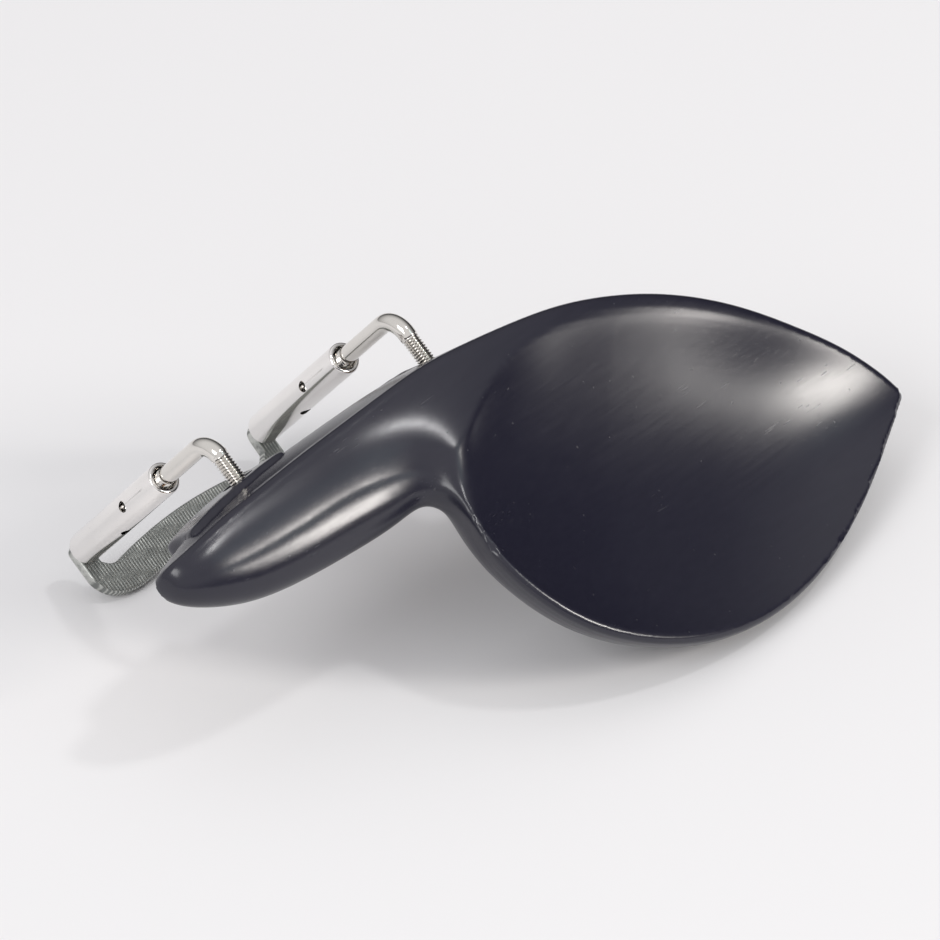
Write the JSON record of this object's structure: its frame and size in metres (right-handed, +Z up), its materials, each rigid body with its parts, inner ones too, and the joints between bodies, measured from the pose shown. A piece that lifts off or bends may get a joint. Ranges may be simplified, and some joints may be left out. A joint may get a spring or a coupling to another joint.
{
  "type": "violin chin rest",
  "caption": "Black wooden violin chin rest: a leaf-shaped hollow cup with a side arm, held by a bright two-barrel screw clamp, lying cup up on a table.",
  "frame": {"origin": "on the table, under the middle of the object's box as it lies cup up", "axes": "+X from the end of the arm towards the tip of the cup, +Y towards the side with the clamp, +Z up from the table"},
  "size_m": [0.1362, 0.0946, 0.0461],
  "materials": {
    "ebony": "satin, hand-polished",
    "cork": "matte cork sheet",
    "nickel_rod": "polished nickel plate",
    "nickel_barrel": "polished nickel plate",
    "ribbed_nickel": "ribbed, dull nickel plate"
  },
  "bodies": {
    "plate": {"chin_plate": "ebony", "cork_pad_left": "cork", "cork_pad_right": "cork", "hook_left": "nickel_rod", "hook_right": "nickel_rod"},
    "barrel_left_body": {"barrel_left": "nickel_barrel"},
    "barrel_right_body": {"barrel_right": "nickel_barrel"},
    "foot": {"clamp_foot": "ribbed_nickel"}
  },
  "joints": [
    {"name": "barrel_left_turn", "type": "hinge", "parent": "plate", "child": "barrel_left_body", "pos_m": [-0.0016, 0.03514, 0.01951], "axis": [0, -0.6437, 0.7653], "range_deg": [0, 2880]},
    {"name": "barrel_right_turn", "type": "hinge", "parent": "plate", "child": "barrel_right_body", "pos_m": [-0.0436, 0.03514, 0.01951], "axis": [0, -0.6437, 0.7653], "range_deg": [0, 2880]},
    {"name": "foot_travel", "type": "slide", "parent": "plate", "child": "foot", "axis": [0, 0.6437, -0.7653], "range_m": [0, 0.008]}
  ],
  "couplings": [
    {"joint": "barrel_left_turn", "follows": "foot_travel", "rad_per_m": 6283.2},
    {"joint": "barrel_right_turn", "follows": "foot_travel", "rad_per_m": 6283.2}
  ]
}
